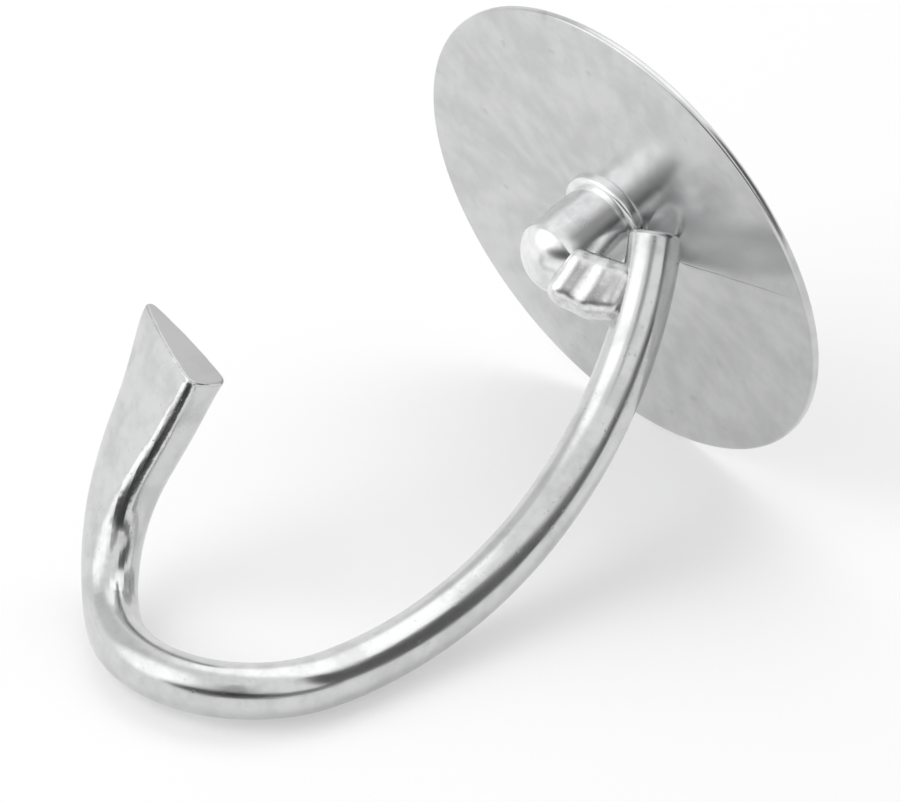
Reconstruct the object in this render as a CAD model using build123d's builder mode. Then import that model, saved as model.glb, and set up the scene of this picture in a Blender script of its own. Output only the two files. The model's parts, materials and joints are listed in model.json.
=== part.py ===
"""Welded dough hook for a stand mixer, lying as it comes to rest: on the rim of its shield and
on two places along the lower run of its bent rod. Millimetres, +Z up, floor at Z = 0, with the
drive axis running down towards +X. Sizes across the tool are given in the drive frame, whose
origin is where the drive axis meets the shield's hook side and whose Z runs down the hook.
"""

import os
from math import acos, atan2, cos, hypot, pi, radians, sin, sqrt, tan

from build123d import *

os.makedirs("parts", exist_ok=True)

# Shield, a flat sheet that sits off the drive axis towards the rod
shield_dia = 92.0
shield_thick = 1.6
shield_offset = 3.4
rim_round = 0.6

# Drive shaft, turned in one piece: shank, seating collar, stub with a domed end
shank_dia = 12.9
shank_length = 18.0
stub_dia = 15.0
stub_length = 18.2
dome_height = 4.9
collar_dia = 18.2
collar_height = 1.4
collar_round = 0.9
nose_dia = 12.0
nose_length = 9.4
nose_chamfer = 1.2

# Cross pin that the mixer's socket turns
pin_dia = 4.0
pin_length = 20.0
pin_height = 4.8

# Rod, from round bar: the middle of its square-cut end, how it leans there, then its bends
rod_dia = 9.5
rod_end_out = 7.3
rod_end_aside = 12.3
rod_end_height = 0.7
rod_end_round = 1.0
rod_lean = 49.9
rod_lean_way = -24.2
bow_way = 155.9
bow_radius, bow_angle = 88.7, 68.6
side_roll, side_radius, side_angle = 69.5, 23.0, 110.4
lift_roll, lift_radius, lift_angle = -68.9, 18.4, 103.7
tail_length = 24.0

# Blade forged at the free end: the rod's back squared off, its other side drawn out to a blunt edge.
# Flanks and back bulge by their swing to each side. Each station is a share of the run and of the forging.
blade_run = 50.0
blade_back_depth = 4.2
blade_back_thick = 7.8
blade_back_round = 2.0
blade_reach = 17.7
blade_edge_round = 1.1
blade_turn = 19.5
blade_end_tilt = 4.5
blade_end_round = 0.5
blade_flank_swing = 6.0
blade_back_swing = 15.0
blade_stations = (
    (0.0, 0.0),
    (0.08, 0.02),
    (0.2, 0.1),
    (0.36, 0.27),
    (0.58, 0.54),
    (0.8, 0.79),
    (1.0, 1.0),
)

# Weld in the V of stub and rod, placed along the rod: two beads side by side, rounded at both ends.
# Each bead and the valley between has a share of the weld's reach and the width across it there.
weld_start = 4.5
weld_length = 12.8
weld_first_reach = 13.0
weld_last_reach = 18.0
weld_end_round = 2.5
weld_root = 3.0
weld_root_width = 4.4
weld_rod_bead, weld_rod_bead_width = 0.46, 9.2
weld_valley, weld_valley_width = 0.6, 8.8
weld_stub_bead, weld_stub_bead_width = 0.76, 11.0
weld_shares = (0.0, 0.05, 0.25, 0.5, 0.75, 0.95, 1.0)

shank_radius = shank_dia / 2
stub_radius = stub_dia / 2
rod_radius = rod_dia / 2

# Rod centreline in the drive frame: three bends one after another and a tail
lean, way = radians(rod_lean), radians(rod_lean_way)
heading = Vector(sin(lean) * cos(way), sin(lean) * sin(way), cos(lean))
inward = Vector(cos(radians(bow_way)), sin(radians(bow_way)), 0)
bend_axis = heading.cross(inward).normalized()
point = Vector(rod_end_out, rod_end_aside, rod_end_height)
bends = (
    (0.0, bow_radius, bow_angle),
    (side_roll, side_radius, side_angle),
    (lift_roll, lift_radius, lift_angle),
)
with BuildLine() as centreline:
    for roll, radius, angle in bends:
        bend_axis = bend_axis.rotate(Axis(point, heading), roll)
        centre = point + bend_axis.cross(heading) * radius
        turn = Axis(centre, bend_axis)
        middle, end = (centre + (point - centre).rotate(turn, part) for part in (angle / 2, angle))
        ThreePointArc(point, middle, end)
        point, heading = end, heading.rotate(turn, angle)
    Line(point, point + heading * tail_length)

# Rest: the floor touches the shield's rim, the bow and the bend, found by settling onto them
bow, bend = centreline.edges()[0], centreline.edges()[1:3]
bow_points = [bow.position_at(i / 200) for i in range(201)]
bend_points = [edge.position_at(i / 200) for edge in bend for i in range(201)]
rim_radius = shield_dia / 2 - rim_round
up = Vector(-0.67, 0.71, -0.21).normalized()
for _ in range(40):
    rim_way = Vector(-up.X, -up.Y, 0).normalized()
    rim_low = Vector(shield_offset, 0, -rim_round) + rim_way * rim_radius - up * rim_round
    bow_low = min(bow_points, key=lambda p: p.dot(up)) - up * rod_radius
    bend_low = min(bend_points, key=lambda p: p.dot(up)) - up * rod_radius
    normal = (bow_low - rim_low).cross(bend_low - rim_low).normalized()
    up = normal if normal.dot(up) > 0 else normal * -1

# Drive frame stood on the floor, with the whole tool's box centred over the origin
along = (Vector(0, 0, 1) - up * up.Z).normalized()
across = up.cross(along)
rim_turns = [Vector(cos(radians(i)), sin(radians(i)), 0) for i in range(360)]
rod_points = bow_points + bend_points + [point, point + heading * tail_length]
balls = [(Vector(shield_offset, 0, -rim_round) + way * rim_radius, rim_round) for way in rim_turns]
balls += [(spot, rod_radius) for spot in rod_points]
shank_end = -(shield_thick + shank_length)
balls += [(Vector(0, 0, shank_end) + way * (nose_dia / 2 - nose_chamfer), 0) for way in rim_turns]


def reach(direction):
    """Farthest that the tool extends from the drive frame's origin in a direction."""
    return max(spot.dot(direction) + ball for spot, ball in balls)


drive = Plane(
    origin=((reach(along * -1) - reach(along)) / 2, (reach(across * -1) - reach(across)) / 2, reach(up * -1)),
    x_dir=(along.X, across.X, up.X),
    z_dir=(along.Z, across.Z, up.Z),
)
drive_axis = Axis(drive.origin, drive.z_dir)
turning = Plane(drive.origin, x_dir=drive.x_dir, z_dir=drive.y_dir * -1)
rod_path = centreline.wire().moved(drive.location)

with BuildPart() as dough_shield:
    with BuildSketch(drive):
        with Locations((shield_offset, 0)):
            Circle(shield_dia / 2)
        Circle(shank_radius, mode=Mode.SUBTRACT)
    extrude(amount=-shield_thick)
    rim = dough_shield.edges().filter_by(GeomType.CIRCLE).sort_by(SortBy.RADIUS)[-2:]
    fillet(rim, rim_round)

with BuildPart() as drive_shaft:
    with BuildSketch(turning):
        with BuildLine():
            shoulder = (stub_radius, stub_length - dome_height)
            collar_foot = (collar_dia / 2, 0)
            collar_side = (collar_dia / 2, collar_height - collar_round)
            collar_top = (collar_dia / 2 - collar_round, collar_height)
            nose_tip = (nose_dia / 2 - nose_chamfer, shank_end)
            nose_side = (nose_dia / 2, shank_end + nose_chamfer)
            nose_root = (nose_dia / 2, shank_end + nose_length)
            shank_step = (shank_radius, shank_end + nose_length)
            Polyline((0, shank_end), nose_tip, nose_side, nose_root, shank_step)
            Polyline(shank_step, (shank_radius, 0), collar_foot, collar_side)
            RadiusArc(collar_side, collar_top, -collar_round)
            Polyline(collar_top, (stub_radius, collar_height), shoulder)
            dome = (stub_radius**2 + dome_height**2) / (2 * dome_height)
            RadiusArc(shoulder, (0, stub_length), -dome)
            Line((0, stub_length), (0, shank_end))
        make_face()
    revolve(axis=drive_axis)
    with BuildSketch(turning.offset(-pin_length)):
        with Locations((0, -shield_thick - pin_height)):
            Circle(pin_dia / 2)
    extrude(amount=2 * pin_length, mode=Mode.SUBTRACT)

with BuildPart() as drive_pin:
    with BuildSketch(turning.offset(-pin_length / 2)):
        with Locations((0, -shield_thick - pin_height)):
            Circle(pin_dia / 2)
    extrude(amount=pin_length)
    chamfer(drive_pin.edges(), pin_dia / 10)


# Directions round the blade's section at which its corners pass into its flanks and its back
flank_run = blade_reach - blade_edge_round + blade_back_depth - blade_back_round
flank_rise = blade_back_thick / 2 - blade_back_round
flank_length = hypot(flank_run, flank_rise)
flank_way = acos((blade_back_round - blade_edge_round) / flank_length) - atan2(flank_rise, flank_run)
flank_swing, back_swing = radians(blade_flank_swing), radians(blade_back_swing)
corner_ways = (pi - back_swing, (pi - back_swing + flank_way + flank_swing) / 2, flank_way + flank_swing)


def blade_section(plane, drawn):
    """Blade cut across where a share of it is drawn out: round rod at 0, a squared wedge at 1."""
    corner_round = rod_radius + (blade_back_round - rod_radius) * drawn
    edge_round = rod_radius + (blade_edge_round - rod_radius) * drawn
    corner = Vector(blade_back_round - blade_back_depth, flank_rise) * drawn
    edge = Vector(blade_reach - blade_edge_round, 0) * drawn
    back_end, corner_top, flank_end = (corner + Vector(cos(t), sin(t)) * corner_round for t in corner_ways)
    edge_end = edge + Vector(cos(flank_way - flank_swing), sin(flank_way - flank_swing)) * edge_round
    flank_bow = (edge_end - flank_end).length / 2 * tan(flank_swing / 2)
    flank_middle = (flank_end + edge_end) / 2 + Vector(cos(flank_way), sin(flank_way)) * flank_bow
    back_middle = (back_end.X - back_end.Y * tan(back_swing / 2), 0)
    with BuildSketch(plane) as section:
        with BuildLine():
            ThreePointArc(back_end, corner_top, flank_end)
            ThreePointArc(flank_end, flank_middle, edge_end)
            mirror(about=Plane.XZ)
            ThreePointArc(edge_end, edge + Vector(edge_round, 0), (edge_end.X, -edge_end.Y))
            ThreePointArc(back_end, back_middle, (back_end.X, -back_end.Y))
        make_face()
    return section.sketch


# Rod swept to where the blade starts, then drawn out through the blade's sections
blade_from = 1 - blade_run / rod_path.length
bend_normal = drive.from_local_coords(bend_axis) - drive.origin
blade_sections = []
for station, drawn in blade_stations:
    place = blade_from + (1 - blade_from) * station
    rod_way = rod_path % place
    blade_way = rod_way.cross(bend_normal).rotate(Axis((0, 0, 0), rod_way), blade_turn)
    if station == 1:
        rod_way = rod_way.rotate(Axis((0, 0, 0), rod_way.cross(blade_way)), blade_end_tilt)
    across_rod = Plane(rod_path @ place, x_dir=blade_way, z_dir=rod_way)
    blade_sections.append(blade_section(across_rod, drawn))

with BuildPart() as hook_rod:
    with BuildSketch(Plane(rod_path @ 0, z_dir=rod_path % 0)):
        Circle(rod_radius)
    sweep(path=rod_path.trim(0, blade_from))
    rod_end = hook_rod.faces().sort_by_distance(rod_path @ 0)[0]
    fillet(rod_end.edges(), rod_end_round)
    loft(blade_sections)
    blade_end = hook_rod.faces().sort_by_distance(rod_path @ 1)[0]
    fillet(blade_end.edges(), blade_end_round)
    split(bisect_by=drive, keep=Keep.TOP)


def weld_section(plane, reach_out, inset):
    """Weld cut across the rod: a bead on the rod and one on the stub, drawn in near the weld's ends."""
    tip = reach_out - inset
    rod_bead = (weld_rod_bead * tip, weld_rod_bead_width / 2 - inset)
    valley = (weld_valley * tip, weld_valley_width / 2 - inset)
    stub_bead = (weld_stub_bead * tip, weld_stub_bead_width / 2 - inset)
    side = [(weld_root, weld_root_width / 2 - inset / 2), rod_bead, valley, stub_bead]
    other_side = [(x, -y) for x, y in reversed(side)]
    with BuildSketch(plane) as section:
        with BuildLine():
            Spline(*side, (tip, 0), *other_side, periodic=True)
        make_face()
    return section.sketch


# Weld lofted along the rod, with stub and rod taken out of it
weld_sections = []
for share in weld_shares:
    from_end = min(share, 1 - share) * weld_length
    short = max(weld_end_round - from_end, 0)
    inset = weld_end_round - sqrt(weld_end_round**2 - short**2)
    place = (weld_start + weld_length * share) / rod_path.length
    rod_spot, rod_way = rod_path @ place, rod_path % place
    to_stub = drive.origin - rod_spot
    stub_spot = drive.origin - drive.z_dir * (to_stub.dot(rod_way) / drive.z_dir.dot(rod_way))
    across_rod = Plane(rod_spot, x_dir=stub_spot - rod_spot, z_dir=rod_way)
    reach_out = weld_first_reach + (weld_last_reach - weld_first_reach) * share
    weld_sections.append(weld_section(across_rod, reach_out, inset))

with BuildPart() as weld_fillet:
    loft(weld_sections)
    add(drive_shaft.part, mode=Mode.SUBTRACT)
    add(hook_rod.part, mode=Mode.SUBTRACT)

pieces = {
    "dough_shield": dough_shield,
    "drive_shaft": drive_shaft,
    "drive_pin": drive_pin,
    "hook_rod": hook_rod,
    "weld_fillet": weld_fillet,
}
for label, piece in pieces.items():
    piece.part.label = label
    export_step(piece.part, f"parts/{label}.step")
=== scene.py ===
import json
from math import asin, radians

import bmesh
import bpy
from mathutils import Matrix, Quaternion, Vector


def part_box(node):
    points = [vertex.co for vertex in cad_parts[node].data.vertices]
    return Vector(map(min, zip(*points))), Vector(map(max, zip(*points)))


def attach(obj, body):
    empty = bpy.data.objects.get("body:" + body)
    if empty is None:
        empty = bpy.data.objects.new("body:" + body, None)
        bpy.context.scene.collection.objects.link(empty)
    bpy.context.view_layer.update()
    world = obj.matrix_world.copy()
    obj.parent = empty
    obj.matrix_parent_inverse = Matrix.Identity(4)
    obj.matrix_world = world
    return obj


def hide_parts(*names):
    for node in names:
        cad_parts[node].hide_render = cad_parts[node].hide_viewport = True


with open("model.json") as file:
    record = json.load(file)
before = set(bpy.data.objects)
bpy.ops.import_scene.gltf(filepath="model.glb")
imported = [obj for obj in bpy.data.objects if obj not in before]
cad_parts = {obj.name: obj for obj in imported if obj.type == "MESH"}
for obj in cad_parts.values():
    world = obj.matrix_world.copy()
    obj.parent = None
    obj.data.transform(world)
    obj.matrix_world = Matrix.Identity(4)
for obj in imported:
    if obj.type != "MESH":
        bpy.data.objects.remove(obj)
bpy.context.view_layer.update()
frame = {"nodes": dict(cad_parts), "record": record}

# The dough shield is a disc cut from cold rolled stainless sheet, its edge rounded over by tumbling.
# It is pressed on the drive shaft up to the collar. Use has left it cloudy, with fine hairlines
# and one long scratch on the hook side, which runs out from the rod to the rim.
sheet_tint = (0.63, 0.632, 0.635, 1)
sheet_cloud_tint = (0.54, 0.542, 0.546, 1)
sheet_spot_tint = (0.46, 0.46, 0.46, 1)
sheet_dull, sheet_rubbed = 0.24, 0.16
patches_to_metre, smears_to_metre, spots_to_metre = 75, 320, 260
patch_share, smear_share, spot_share = 0.7, 0.3, 0.5
hair_turn, hair_stretch = 35, (60, 2600, 60)
scratch_start = (-0.0011, 0.0151, 0)
scratch_turn = 102.6
scratch_length = 0.030
scratch_fades_from, scratch_stops = 0.4 * scratch_length, 1.02 * scratch_length
scratch_half_width = 0.00022
scratch_core = 0.3 * scratch_half_width
scratch_lead_in = 0.002
scratch_wander, wanders_to_metre = 0.0008, 90
scratch_skin = 0.0002
scratch_share, scratch_faint_share = 0.7, 0.1
hair_height, cloud_height, scratch_depth = 0.12, 0.15, 12.0


def add(tree, kind, inputs=None, **settings):
    """One shader node with its settings, and each input either set or linked."""
    node = tree.nodes.new("ShaderNode" + kind)
    for name, value in settings.items():
        setattr(node, name, value)
    for name, value in (inputs or {}).items():
        if isinstance(value, bpy.types.NodeSocket):
            tree.links.new(value, node.inputs[name])
        else:
            node.inputs[name].default_value = value
    return node


def new_steel(name):
    """A bare steel and the Object coordinates that its marks are laid out in."""
    steel = bpy.data.materials.new(name)
    steel.use_nodes = True
    tree = steel.node_tree
    surface = tree.nodes["Principled BSDF"]
    surface.inputs["Metallic"].default_value = 1
    place = add(tree, "TexCoord").outputs["Object"]
    return steel, tree, surface, place


def turned(tree, place, centre, turn):
    """Places measured from a centre, in a frame turned to a piece's own axes."""
    return add(tree, "Mapping", {"Vector": place, "Location": centre, "Rotation": turn},
               vector_type="TEXTURE").outputs[0]


def noise(tree, place, scale, detail=4.0, rough=0.55):
    """Cloudy pattern of soft patches, as many to the metre as scale."""
    return add(tree, "TexNoise", {"Vector": place, "Scale": scale, "Detail": detail,
                                  "Roughness": rough}).outputs["Fac"]


def ramp(tree, value, low, high, to_low=0.0, to_high=1.0):
    """Value spread smoothly from one range to another, and held at its ends."""
    return add(tree, "MapRange", {"Value": value, "From Min": low, "From Max": high, "To Min": to_low,
                                  "To Max": to_high}, interpolation_type="SMOOTHSTEP").outputs[0]


def maths(tree, operation, first, second=0.0):
    """One step of arithmetic on values in a material."""
    return add(tree, "Math", {0: first, 1: second}, operation=operation).outputs[0]


def plus(tree, first, second):
    """Sum of two values in a material."""
    return maths(tree, "ADD", first, second)


def times(tree, first, second):
    """Product of two values in a material."""
    return maths(tree, "MULTIPLY", first, second)


def blend_tint(tree, share, first, second):
    """Colour part way from the first to the second."""
    return add(tree, "Mix", {"Factor": share, "A": first, "B": second}, data_type="RGBA").outputs["Result"]


def worn_shine(tree, wear, dull, rubbed):
    """Roughness that goes from dull to rubbed with the wear."""
    return ramp(tree, wear, 0.3, 0.7, dull, rubbed)


def finish_steel(tree, surface, colour, shine, height, strength, depth, facing=None):
    """Gives a steel its colour, its roughness and the fine relief of its skin."""
    tree.links.new(colour, surface.inputs["Base Color"])
    tree.links.new(shine, surface.inputs["Roughness"])
    relief = add(tree, "Bump", {"Height": height, "Strength": strength, "Distance": depth})
    if facing is not None:
        tree.links.new(facing, relief.inputs["Normal"])
    tree.links.new(relief.outputs[0], surface.inputs["Normal"])


def dress(node_name, steel):
    """Puts a steel on a CAD piece."""
    materials = frame["nodes"][node_name].data.materials
    materials.clear()
    materials.append(steel)


shield_low, shield_high = (Vector(corner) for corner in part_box("dough_shield"))
shield_middle = (shield_low + shield_high) / 2
drive_way = -Vector(frame["record"]["mounts"][0]["axis"])
shield_turn = (0, drive_way.angle((0, 0, 1)), 0)

shield_steel, tree, surface, place = new_steel("rolled_sheet_steel")
sheet = turned(tree, place, shield_middle, shield_turn)
patches = noise(tree, sheet, patches_to_metre, detail=6, rough=0.62)
smears = noise(tree, sheet, smears_to_metre, detail=3, rough=0.5)
worn = plus(tree, times(tree, patches, patch_share), times(tree, smears, smear_share))
colour = blend_tint(tree, ramp(tree, worn, 0.36, 0.62), sheet_cloud_tint, sheet_tint)
spots = ramp(tree, noise(tree, sheet, spots_to_metre, detail=2, rough=0.4), 0.69, 0.76)
colour = blend_tint(tree, times(tree, spots, spot_share), colour, sheet_spot_tint)
scratch = turned(tree, sheet, scratch_start, (0, 0, radians(scratch_turn)))
scratch = add(tree, "SeparateXYZ", {"Vector": scratch}).outputs
wander = maths(tree, "SUBTRACT", noise(tree, sheet, wanders_to_metre, detail=2), 0.5)
off_line = plus(tree, scratch["Y"], times(tree, wander, scratch_wander))
groove = ramp(tree, maths(tree, "ABSOLUTE", off_line), scratch_core, scratch_half_width, 1, 0)
groove = times(tree, groove, ramp(tree, scratch["X"], 0, scratch_lead_in))
groove = times(tree, groove, ramp(tree, scratch["Z"], 0, scratch_skin))
fade = ramp(tree, scratch["X"], scratch_fades_from, scratch_length, 1, scratch_faint_share)
groove = times(tree, groove, fade)
groove = times(tree, groove, ramp(tree, scratch["X"], scratch_length, scratch_stops, 1, 0))
colour = blend_tint(tree, times(tree, groove, scratch_share), colour, sheet_spot_tint)
shine = worn_shine(tree, worn, sheet_dull, sheet_rubbed)
hairs = add(tree, "Mapping", {"Vector": sheet, "Rotation": (0, 0, radians(hair_turn)),
                              "Scale": hair_stretch})
hairs = noise(tree, hairs.outputs[0], 1, detail=2, rough=0.5)
height = plus(tree, times(tree, hairs, hair_height), times(tree, worn, cloud_height))
height = maths(tree, "SUBTRACT", height, times(tree, groove, scratch_depth))
finish_steel(tree, surface, colour, shine, height, strength=0.35, depth=0.00001)
dress("dough_shield", shield_steel)

# The drive shaft is turned from stainless bar: a domed stub, a collar and a stepped shank for the mixer.
# It is polished on the lathe, which leaves its corners soft and fine rings round it.
# The shield is pressed on it up to the collar, and it takes the drive pin and the weld.
shaft_tint = (0.86, 0.862, 0.865, 1)
shaft_dull_tint = (0.76, 0.762, 0.765, 1)
shaft_dull, shaft_rubbed = 0.28, 0.21
shaft_rings_to_metre, shaft_marks_to_metre = 4200, 240
ring_patches_to_metre = 60
ring_height = 0.5
seat_from_mount = 0.0143
stub_radius, stub_length, stub_shoulder_round = 0.0075, 0.0182, 0.0026
dome_radius = 0.00819
collar_radius, collar_height, collar_round = 0.0091, 0.0014, 0.0009
shank_radius, nose_radius, nose_chamfer = 0.00645, 0.006, 0.0012
nose_root, nose_end = -0.0102, -0.0196
lathe_steps, dome_steps, round_segments = 128, 12, 8
sharp_corner = 35
same_place = 1e-6


def soften(bm, corner, size):
    """Rounds one corner of a profile."""
    bmesh.ops.bevel(bm, geom=[corner], offset=size, offset_type="OFFSET", affect="VERTICES",
                    segments=round_segments, profile=0.5, material=-1)


def mesh_from(name, bm):
    """Mesh that keeps what a bmesh has made."""
    mesh = bpy.data.meshes.new(name)
    bm.to_mesh(mesh)
    bm.free()
    return mesh


def put_in_scene(name, data):
    """Object at the origin with a mesh, a lamp or a lens in it."""
    thing = bpy.data.objects.new(name, data)
    bpy.context.scene.collection.objects.link(thing)
    return thing


def finish_piece(name, bm, steel):
    """Makes an object of a mesh in its place, and gives it its body and steel."""
    for face in bm.faces:
        face.smooth = True
    for edge in bm.edges:
        edge.smooth = edge.calc_face_angle(0) < radians(sharp_corner)
    piece = put_in_scene(name, mesh_from(name, bm))
    piece.data.materials.append(steel)
    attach(piece, "root")
    return piece


def ring_marks(tree, turned_place, rings_to_metre):
    """Fine rings that turning or grinding leaves round a piece, uneven in depth."""
    stretch = (ring_patches_to_metre, ring_patches_to_metre, rings_to_metre)
    rings = add(tree, "Mapping", {"Vector": turned_place, "Scale": stretch})
    return noise(tree, rings.outputs[0], 1, detail=3, rough=0.6)


shaft_seat = Vector(frame["record"]["mounts"][0]["pos_m"]) + drive_way * seat_from_mount
shaft_steel, tree, surface, place = new_steel("turned_bar_steel")
lathe = turned(tree, place, shaft_seat, shield_turn)
rings = ring_marks(tree, lathe, shaft_rings_to_metre)
handled = noise(tree, lathe, shaft_marks_to_metre, detail=4, rough=0.6)
colour = blend_tint(tree, ramp(tree, handled, 0.35, 0.6), shaft_dull_tint, shaft_tint)
shine = worn_shine(tree, handled, shaft_dull, shaft_rubbed)
height = plus(tree, times(tree, rings, ring_height), handled)
finish_steel(tree, surface, colour, shine, height, strength=0.3, depth=0.00001)

bm = bmesh.new()
dome_top = bm.verts.new((0, 0, stub_length))
dome_turn = asin(stub_radius / dome_radius)
dome = bmesh.ops.spin(bm, geom=[dome_top], cent=(0, 0, stub_length - dome_radius), axis=(0, 1, 0),
                      angle=dome_turn, steps=dome_steps, use_duplicate=False)
shoulder = last = dome["geom_last"][0]
profile = (
    (stub_radius, collar_height),
    (collar_radius, collar_height),
    (collar_radius, 0),
    (shank_radius, 0),
    (shank_radius, nose_root),
    (nose_radius, nose_root),
    (nose_radius, nose_end + nose_chamfer),
    (nose_radius - nose_chamfer, nose_end),
    (0, nose_end),
)
corners = []
for radius, along in profile:
    corners.append(bm.verts.new((radius, 0, along)))
    bm.edges.new((last, corners[-1]))
    last = corners[-1]
collar_rim = corners[1]
soften(bm, shoulder, stub_shoulder_round)
soften(bm, collar_rim, collar_round)
bmesh.ops.spin(bm, geom=bm.verts[:] + bm.edges[:], cent=(0, 0, 0), axis=(0, 0, 1), angle=radians(360),
               steps=lathe_steps, use_merge=True)
bmesh.ops.remove_doubles(bm, verts=bm.verts, dist=same_place)
bmesh.ops.recalc_face_normals(bm, faces=bm.faces)
bmesh.ops.transform(bm, matrix=Matrix.Rotation(shield_turn[1], 4, "Y"), verts=bm.verts)
bmesh.ops.translate(bm, vec=shaft_seat, verts=bm.verts)
shaft = finish_piece("turned_shaft", bm, shaft_steel)
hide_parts("drive_shaft")

# The drive pin is a straight steel dowel, ground all round.
# It is pressed through the cross hole of the shank, and turns the tool in the mixer's socket.
pin_tint = (0.6, 0.6, 0.6, 1)
pin_dull_tint = (0.5, 0.5, 0.5, 1)
pin_dull, pin_rubbed = 0.28, 0.18
pin_rings_to_metre, pin_marks_to_metre = 6000, 500
pin_way = Vector((0.170372, 0.66565, 0.726556))

pin_low, pin_high = (Vector(corner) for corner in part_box("drive_pin"))
pin_turn = pin_way.to_track_quat("Z", "X").to_euler()
pin_steel, tree, surface, place = new_steel("ground_pin_steel")
ground = turned(tree, place, (pin_low + pin_high) / 2, pin_turn)
rings = ring_marks(tree, ground, pin_rings_to_metre)
rubbed = noise(tree, ground, pin_marks_to_metre, detail=4, rough=0.6)
colour = blend_tint(tree, rubbed, pin_dull_tint, pin_tint)
shine = worn_shine(tree, rubbed, pin_dull, pin_rubbed)
finish_steel(tree, surface, colour, shine, rings, strength=0.3, depth=0.00001)
dress("drive_pin", pin_steel)

# The hook is one stainless rod, bent three times and hammered out to a wedge blade with a sawn end.
# It is polished by hand along its length, which leaves a fine grain over the small pits of the drawn bar.
# Along the blade's corner the material leans the normals to the tip, as on a corner that is dished.
rod_tint = (0.65, 0.652, 0.655, 1)
rod_dull_tint = (0.57, 0.572, 0.575, 1)
rod_pit_tint = (0.42, 0.42, 0.42, 1)
sawn_tint = (0.48, 0.48, 0.48, 1)
rod_dull, rod_rubbed, grain_duller, sawn_duller = 0.2, 0.13, 0.05, 0.2
grain_across_to_metre, grain_along_to_metre = 3200, 170
pits_to_metre, crowds_to_metre, rod_marks_to_metre = 1300, 190, 150
pit_share, pit_depth, sawn_share = 0.35, 1.2, 0.8
# Each bend is its start, its centre and its axle.
bow = ((-0.04549, 0.01110, 0.05091), (0.03245, -0.01242, 0.08612), (-0.09549, -0.91235, -0.39812))
side_bend = ((0.04263, 0.02192, 0.00497), (0.03965, -0.00085, 0.00376), (0.07408, 0.04316, -0.99632))
lift = ((0.05993, -0.01166, 0.00480), (0.05282, -0.00929, 0.02161), (-0.79581, 0.45389, -0.40084))
# The blade is straight, so it is a bend with its centre far off.
blade_start = (0.04280, -0.02449, 0.02428)
far_off = 50
blade = (blade_start, tuple(Vector(blade_start).lerp(lift[1], far_off)), lift[2])
bend_reach, bend_fade, bend_blend = 0.045, 0.003, 0.002
blade_end = (0.03644, -0.01647, 0.04599)
blade_way = (-0.26508, 0.33403, 0.90452)
blade_corner_way = (0.879, 0.456, 0.139)
# A face counts as sawn, or as the corner, by how squarely it looks that way and how near the end it is.
sawn_facing, sawn_reach = (0.8, 0.95), (0.022, 0.024)
corner_facing, corner_reach = (0.84, 0.95), (0.022, 0.034)
corner_lean = 0.5


def vector_maths(tree, operation, first, second=(0, 0, 0)):
    """One step of arithmetic on vectors in a material."""
    return add(tree, "VectorMath", {0: first, 1: second}, operation=operation).outputs


def bend_heading(start, centre, axle):
    """Way out to the start of a bend from its centre, and the way that the rod heads there."""
    out = (Vector(start) - Vector(centre)).normalized()
    return out, Vector(axle).cross(out)


def bend_grain(tree, place, start, centre, axle):
    """Grain that follows one bend of the rod."""
    out, heading = bend_heading(start, centre, axle)
    turn = Matrix((out, heading, axle)).transposed().to_euler()
    across = turned(tree, place, centre, turn)
    parts = add(tree, "SeparateXYZ", {"Vector": across}).outputs
    run = maths(tree, "ARCTAN2", parts["Y"], parts["X"])
    run = times(tree, run, (Vector(start) - Vector(centre)).length * grain_along_to_metre)
    flat = vector_maths(tree, "MULTIPLY", across, (grain_across_to_metre, grain_across_to_metre, 0))
    from_axle = vector_maths(tree, "LENGTH", flat["Vector"])["Value"]
    along_axle = times(tree, parts["Z"], grain_across_to_metre)
    lines = add(tree, "CombineXYZ", {"X": run, "Y": from_axle, "Z": along_axle})
    return noise(tree, lines.outputs[0], 1, detail=3, rough=0.6)


def bend_begun(tree, place, start, centre, axle):
    """Where the rod has come into a bend, and is still near the bend's start."""
    gone = vector_maths(tree, "SUBTRACT", place, start)["Vector"]
    past = vector_maths(tree, "DOT_PRODUCT", gone, bend_heading(start, centre, axle)[1])["Value"]
    away = vector_maths(tree, "LENGTH", gone)["Value"]
    return times(tree, ramp(tree, past, -bend_blend, bend_blend),
                 ramp(tree, away, bend_reach - bend_fade, bend_reach, 1, 0))


def near_end_facing(tree, facing, from_end, way, how_square, reach):
    """Where a face looks along a way and is near the blade's end."""
    square = vector_maths(tree, "DOT_PRODUCT", facing, way)["Value"]
    return times(tree, ramp(tree, square, *how_square), ramp(tree, from_end, *reach, 1, 0))


rod_steel, tree, surface, place = new_steel("polished_rod_steel")
grain = bend_grain(tree, place, *bow)
for bend in (side_bend, lift, blade):
    grain = add(tree, "Mix", {"Factor": bend_begun(tree, place, *bend), "A": grain,
                              "B": bend_grain(tree, place, *bend)}).outputs["Result"]
handled = noise(tree, place, rod_marks_to_metre, detail=4, rough=0.6)
pits = add(tree, "TexVoronoi", {"Vector": place, "Scale": pits_to_metre, "Randomness": 1.0})
pit = ramp(tree, pits.outputs["Distance"], 0.12, 0.34, 1, 0)
chosen = add(tree, "SeparateColor", {"Color": pits.outputs["Color"]}).outputs["Red"]
crowd = ramp(tree, noise(tree, place, crowds_to_metre, detail=2), 0.4, 0.62, 0.96, 0.72)
pit = times(tree, pit, maths(tree, "GREATER_THAN", chosen, crowd))
facing = add(tree, "NewGeometry").outputs["Normal"]
from_end = vector_maths(tree, "DISTANCE", place, blade_end)["Value"]
sawn = near_end_facing(tree, facing, from_end, blade_way, sawn_facing, sawn_reach)
colour = blend_tint(tree, ramp(tree, handled, 0.35, 0.6), rod_dull_tint, rod_tint)
colour = blend_tint(tree, times(tree, pit, pit_share), colour, rod_pit_tint)
colour = blend_tint(tree, times(tree, sawn, sawn_share), colour, sawn_tint)
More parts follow.
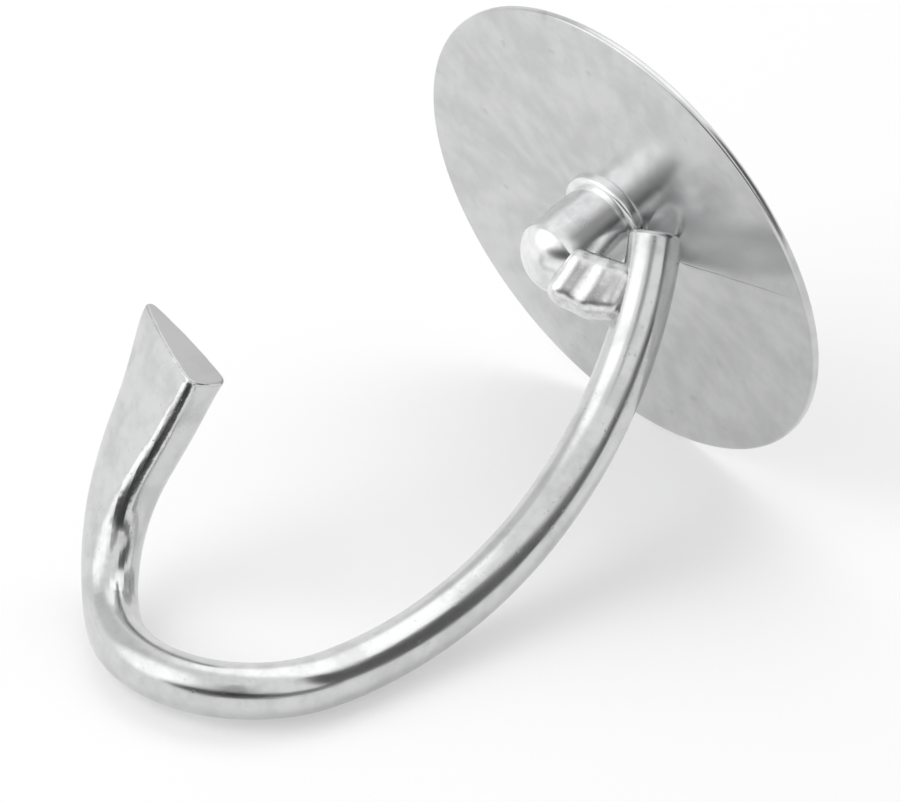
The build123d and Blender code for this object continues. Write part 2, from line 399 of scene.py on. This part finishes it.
shine = plus(tree, worn_shine(tree, handled, rod_dull, rod_rubbed), times(tree, grain, grain_duller))
shine = plus(tree, shine, times(tree, sawn, sawn_duller))
lean = near_end_facing(tree, facing, from_end, blade_corner_way, corner_facing, corner_reach)
lean = add(tree, "VectorMath", {0: blade_way, "Scale": times(tree, lean, corner_lean)}, operation="SCALE")
leaned = vector_maths(tree, "ADD", facing, lean.outputs[0])["Vector"]
leaned = vector_maths(tree, "NORMALIZE", leaned)["Vector"]
height = maths(tree, "SUBTRACT", plus(tree, grain, handled), times(tree, pit, pit_depth))
finish_steel(tree, surface, colour, shine, height, strength=0.5, depth=0.00002, facing=leaned)
dress("hook_rod", rod_steel)

# The weld fills the corner between the stub and the rod, with a bead against each and filling runs between.
# It is laid from both sides, dressed smooth and polished with them, and keeps a few small pores.
weld_tint = (0.82, 0.822, 0.825, 1)
weld_dull_tint = (0.72, 0.72, 0.72, 1)
weld_dull, weld_rubbed = 0.34, 0.26
ripples_to_metre, weld_marks_to_metre, pores_to_metre = 420, 900, 900
ripple_height, pore_depth, pore_share = 0.8, 0.5, 0.4
weld_face = Vector((0.6631, 0.3969, 0.6347))
weld_radius = 0.0027
# Each run is its start, middle and end on the weld's middle plane, and its stand-off to each side.
weld_runs = (
    ((-0.0355, 0.0031, 0.0447), (-0.0334, 0.0030, 0.0425), (-0.0315, 0.0028, 0.0408), 0.0024),
    ((-0.0364, 0.0051, 0.0444), (-0.0345, 0.0054, 0.0423), (-0.0323, 0.0050, 0.0403), 0.0019),
    ((-0.0374, 0.0072, 0.0440), (-0.0356, 0.0074, 0.0421), (-0.0331, 0.0070, 0.0397), 0.0023),
    ((-0.0381, 0.0086, 0.0438), (-0.0364, 0.0090, 0.0420), (-0.0342, 0.0088, 0.0399), 0.0018),
    ((-0.0388, 0.0100, 0.0436), (-0.0370, 0.0103, 0.0418), (-0.0353, 0.0105, 0.0401), 0.0017),
)
sides = (-1, 0, 1)
drops_to_stretch, drop_fineness = 6, 3
weld_grain = 0.00025
dressing_share, dressing_passes = 0.5, 60

weld_steel, tree, surface, place = new_steel("dressed_weld_steel")
ripple = noise(tree, place, ripples_to_metre, detail=3, rough=0.5)
rubbed = noise(tree, place, weld_marks_to_metre, detail=4, rough=0.6)
pores = add(tree, "TexVoronoi", {"Vector": place, "Scale": pores_to_metre, "Randomness": 1.0})
pore = ramp(tree, pores.outputs["Distance"], 0.05, 0.16, 1, 0)
colour = blend_tint(tree, ramp(tree, rubbed, 0.35, 0.62), weld_dull_tint, weld_tint)
colour = blend_tint(tree, times(tree, pore, pore_share), colour, rod_pit_tint)
shine = worn_shine(tree, rubbed, weld_dull, weld_rubbed)
height = maths(tree, "SUBTRACT", times(tree, ripple, ripple_height), times(tree, pore, pore_depth))
finish_steel(tree, surface, colour, shine, height, strength=0.4, depth=0.00003)

bm = bmesh.new()
for run_start, run_middle, run_end, stand_off in weld_runs:
    for side in sides:
        for first, second in ((run_start, run_middle), (run_middle, run_end)):
            for step in range(drops_to_stretch):
                drop = Vector(first).lerp(second, step / (drops_to_stretch - 1))
                drop = drop + weld_face * side * stand_off
                bmesh.ops.create_icosphere(bm, subdivisions=drop_fineness, radius=weld_radius,
                                           matrix=Matrix.Translation(drop))
weld = finish_piece("weld_beads", bm, weld_steel)
melt = weld.modifiers.new("melt", "REMESH")
melt.mode = "VOXEL"
melt.voxel_size = weld_grain
melt.use_smooth_shade = True
dressed = weld.modifiers.new("dressed", "SMOOTH")
dressed.factor = dressing_share
dressed.iterations = dressing_passes
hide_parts("weld_fillet")

# The floor is a wide sheet of white paper, which takes the soft shadow and lights the metal from below.
# A faint glow, which only the camera and the metal's mirror see, lifts it to the photo's white.
floor_reach = 3.0
paper_tint = (0.66, 0.66, 0.66, 1)
paper_glow = 0.34
plain_white = (1, 1, 1, 1)

bm = bmesh.new()
bmesh.ops.create_grid(bm, x_segments=1, y_segments=1, size=floor_reach)
floor = put_in_scene("floor", mesh_from("floor", bm))
paper = bpy.data.materials.new("white_paper")
paper.use_nodes = True
tree = paper.node_tree
tree.nodes.clear()
seen = add(tree, "LightPath").outputs
lit = add(tree, "BsdfDiffuse", {"Color": paper_tint})
lift_to_white = add(tree, "Emission", {"Color": plain_white, "Strength": paper_glow})
nothing = add(tree, "Emission", {"Strength": 0.0})
shown = maths(tree, "MAXIMUM", seen["Is Camera Ray"], seen["Is Glossy Ray"])
shown = maths(tree, "MAXIMUM", shown, seen["Is Transmission Ray"])
glow = add(tree, "MixShader", {"Fac": shown, 1: nothing.outputs[0], 2: lift_to_white.outputs[0]})
whole = add(tree, "AddShader", {0: lit.outputs[0], 1: glow.outputs[0]})
add(tree, "OutputMaterial", {"Surface": whole.outputs[0]})
floor.data.materials.append(paper)

# The studio is a white cloth tent. Gaps by the camera open on a dark room, which draws the dark line
# on the rod, and the back left side is in half shade. Two lamps behind the cloth throw the shadows,
# and the metal mirrors them as soft bright patches of cloth.
camera_way = 45.39
# Each patch is its way from the camera, rise, half width and half height in degrees, then its change
# of brightness.
tent_patches = (
    (-15, 17, 45, 14, -0.93),
    (-8, 36, 14, 26, -0.55),
    (36, 11, 46, 9, -0.75),
    (71, 35, 20, 28, -0.88),
    (-140, 36, 30, 24, -0.25),
    (-75, 38, 40, 28, 0.6),
    (150, 62, 75, 24, 0.55),
)
patch_core, patch_edge = 0.35, 1.3
tent_light = 0.6
watts_to_white = 4

world = bpy.data.worlds.new("tent")
world.use_nodes = True
bpy.context.scene.world = world
tree = world.node_tree
tree.nodes.clear()
seen = add(tree, "LightPath").outputs
sky = add(tree, "TexCoord").outputs["Generated"]
tent = None
for patch_way, patch_rise, half_width, half_height, change in tent_patches:
    swung = add(tree, "Mapping", {"Vector": sky, "Rotation": (0, 0, -radians(camera_way + patch_way))})
    parts = add(tree, "SeparateXYZ", {"Vector": swung.outputs[0]}).outputs
    aside = maths(tree, "DIVIDE", maths(tree, "ARCTAN2", parts["Y"], parts["X"]), radians(half_width))
    above = maths(tree, "SUBTRACT", maths(tree, "ARCSINE", parts["Z"]), radians(patch_rise))
    above = maths(tree, "DIVIDE", above, radians(half_height))
    off = plus(tree, maths(tree, "POWER", aside, 2.0), maths(tree, "POWER", above, 2.0))
    patch = ramp(tree, off, patch_core, patch_edge, 1 + change, 1)
    tent = times(tree, tent, patch) if tent else patch
mirrored = add(tree, "Background", {"Color": plain_white, "Strength": tent})
white = add(tree, "Background", {"Color": plain_white, "Strength": 1.0})
soft = add(tree, "Background", {"Color": plain_white, "Strength": tent_light})
glossy = maths(tree, "MAXIMUM", seen["Is Glossy Ray"], seen["Is Transmission Ray"])
inside = add(tree, "MixShader", {"Fac": glossy, 1: soft.outputs[0], 2: mirrored.outputs[0]})
air = add(tree, "MixShader", {"Fac": seen["Is Camera Ray"], 1: inside.outputs[0], 2: white.outputs[0]})
add(tree, "OutputWorld", {"Surface": air.outputs[0]})


def way_out(way, rise):
    """Unit vector out from the object, at a way round it and a rise above the floor in degrees."""
    lifted = Matrix.Rotation(-radians(rise), 3, "Y") @ Vector((1, 0, 0))
    return Matrix.Rotation(radians(way), 3, "Z") @ lifted


def softbox(name, way, rise, away, width, height, glow):
    """A lamp with a cloth front, turned to the object, as bright as glow where white is 1."""
    lamp = bpy.data.lights.new(name, "AREA")
    lamp.shape = "RECTANGLE"
    lamp.size = width
    lamp.size_y = height
    lamp.energy = glow * watts_to_white * width * height
    out = way_out(way, rise)
    box = put_in_scene(name, lamp)
    box.rotation_mode = "QUATERNION"
    box.rotation_quaternion = out.to_track_quat("Z", "Y")
    box.location = out * away
    box.visible_glossy = False


softbox("left_softbox", camera_way - 76, rise=34, away=1.0, width=0.7, height=1.2, glow=1.5)
softbox("back_softbox", camera_way + 165, rise=62, away=1.0, width=1.0, height=0.5, glow=1.25)

# The camera stands where the photographer's did, some way off, with a long lens.
# It looks down on the hook from the blade's side.
camera_place = (0.55021, 0.56456, 0.54985)
camera_rise, camera_roll = 33.35, 0.81
film_width, lens_length = 36, 220
nearest, farthest = 0.05, 20

lens = bpy.data.cameras.new("camera")
lens.sensor_width = film_width
lens.lens = lens_length
lens.clip_start = nearest
lens.clip_end = farthest
camera = put_in_scene("camera", lens)
camera.location = camera_place
look = -way_out(camera_way, camera_rise)
camera.rotation_mode = "QUATERNION"
camera.rotation_quaternion = look.to_track_quat("-Z", "Y") @ Quaternion((0, 0, 1), radians(camera_roll))
bpy.context.scene.camera = camera

bpy.context.scene.view_settings.view_transform = "Standard"
